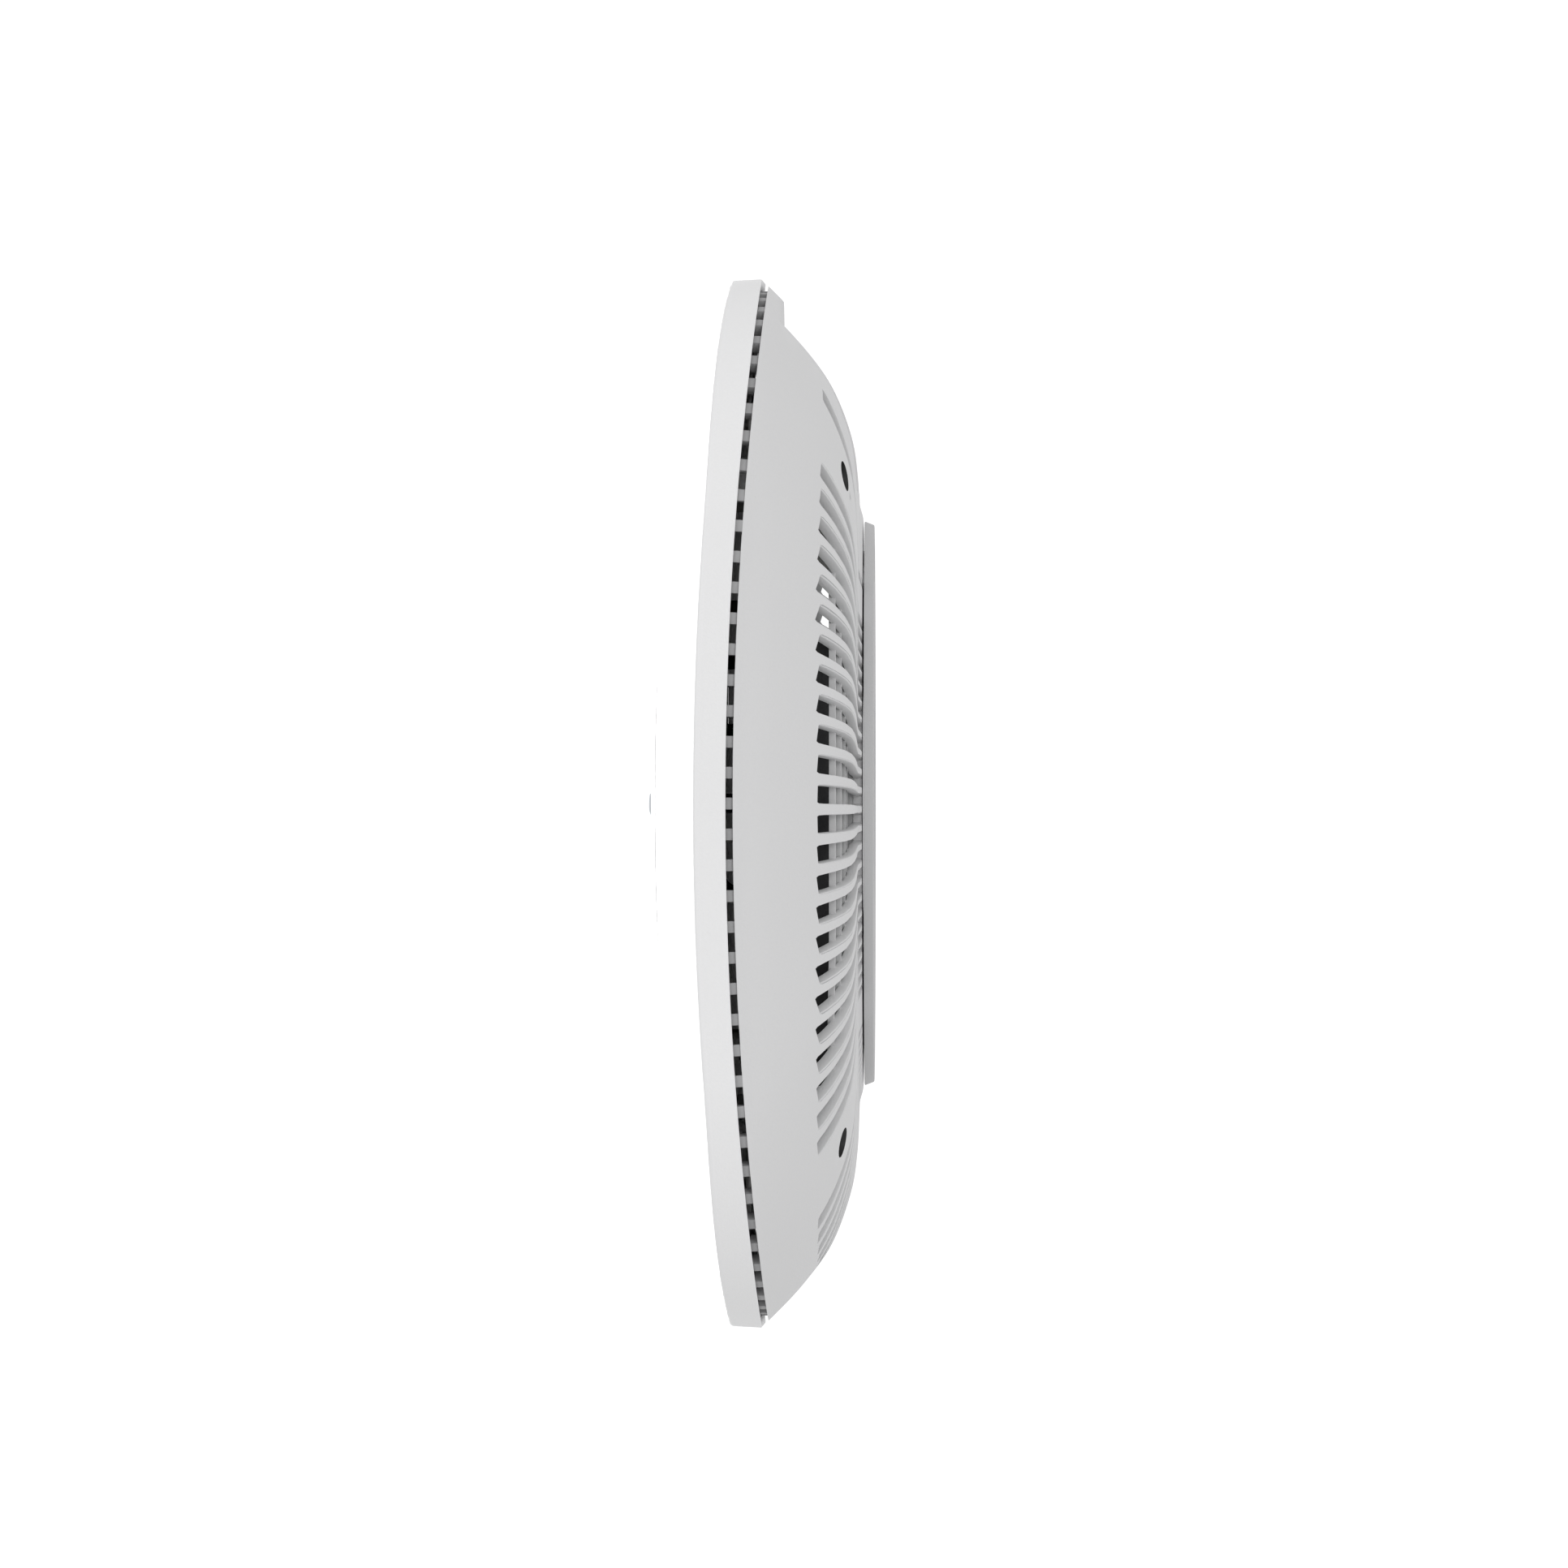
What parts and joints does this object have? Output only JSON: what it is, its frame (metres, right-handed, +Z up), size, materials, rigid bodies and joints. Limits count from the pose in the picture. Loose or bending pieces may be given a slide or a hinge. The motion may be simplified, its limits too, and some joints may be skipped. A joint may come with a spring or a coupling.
{
  "type": "ceiling access point",
  "caption": "Domed square ceiling access point with a finned vented back, cable bay and twist-on round ceiling bracket.",
  "frame": {"origin": "centre of the bracket's ceiling face", "axes": "+Z up into the ceiling, +Y towards the cable bay, X across the sockets"},
  "size_m": [0.2154, 0.2154, 0.0465],
  "materials": {
    "cover_plastic": "fine satin moulded white",
    "disc_plastic": "smooth satin white",
    "housing_plastic": "fine sparked pale grey",
    "comb_plastic": "matt mid grey",
    "screen_plastic": "matt pale grey",
    "lens_plastic": "frosted clear",
    "bracket_steel": "satin grey powder coat",
    "spring_steel": "rolled spring strip",
    "board_laminate": "green solder mask",
    "anodised_black": "black anodised casting",
    "cast_aluminium": "drawn can",
    "pad_silicone": "soft grey-blue pad",
    "tinned_sheet": "tin plated sheet",
    "chip_epoxy": "moulded epoxy",
    "ferrite": "sintered dark grey",
    "winding_tape": "amber tape",
    "jack_metal": "nickel plated sheet",
    "gilt_contact": "gold flash",
    "button_plastic": "dark moulded",
    "port_plastic": "dark grey moulded",
    "aerial_sheet": "tinned stamped sheet",
    "lead_jacket": "thin fluoropolymer jacket",
    "screw_steel": "zinc plated",
    "label_film": "blank polyester label"
  },
  "bodies": {
    "bracket": {"mounting_bracket": "bracket_steel"},
    "lock_tab": {"lock_tab": "spring_steel"},
    "reset_button": {"reset_button": "button_plastic"},
    "unit": {"antenna_plate": "tinned_sheet", "antennas_2g": "aerial_sheet", "antennas_5g": "aerial_sheet", "bayonet_plate": "bracket_steel", "beacon_antenna": "aerial_sheet", "board_screws": "screw_steel", "board_standoffs": "gilt_contact", "cable_clip": "housing_plastic", "capacitors": "cast_aluminium", "coax_leads": "lead_jacket", "coax_plugs": "gilt_contact", "comb_ring": "comb_plastic", "cpu_chip": "chip_epoxy", "disc_ring": "disc_plastic", "front_cover": "cover_plastic", "front_disc": "disc_plastic", "ground_springs": "spring_steel", "heat_sink": "anodised_black", "housing_screws": "screw_steel", "jack_contacts": "gilt_contact", "led_lens": "lens_plastic", "light_pipe": "lens_plastic", "lock_slot_insert": "jack_metal", "main_board": "board_laminate", "memory_chips": "chip_epoxy", "plate_screws": "screw_steel", "port_plate": "port_plastic", "power_inductors": "ferrite", "radio_chips": "chip_epoxy", "rating_label": "label_film", "rear_housing": "housing_plastic", "reset_switch": "chip_epoxy", "rj45_jack_1": "jack_metal", "rj45_jack_2": "jack_metal", "rj45_jack_3": "jack_metal", "scan_antenna": "board_laminate", "shield_2g": "tinned_sheet", "shield_5g": "tinned_sheet", "shield_6g": "tinned_sheet", "shield_cpu": "tinned_sheet", "status_led": "lens_plastic", "thermal_pads": "pad_silicone", "transformer_bobbin": "winding_tape", "transformer_core": "ferrite", "usb_jack": "jack_metal", "vent_screen": "screen_plastic"}
  },
  "joints": [
    {"name": "twist_lock", "type": "hinge", "parent": "bracket", "child": "unit", "pos_m": [0, 0, -0.002], "axis": [0, 0, 1], "range_deg": [-20, 0]},
    {"name": "lock_tab_flex", "type": "hinge", "parent": "bracket", "child": "lock_tab", "pos_m": [-0.0113, 0.04994, -0.001], "axis": [0, 0, -1], "range_deg": [0, 4], "stiffness_Nm_per_rad": 0.4},
    {"name": "reset_press", "type": "slide", "parent": "unit", "child": "reset_button", "axis": [0, -1, 0], "range_m": [0, 0.0006], "stiffness_N_per_m": 600}
  ]
}
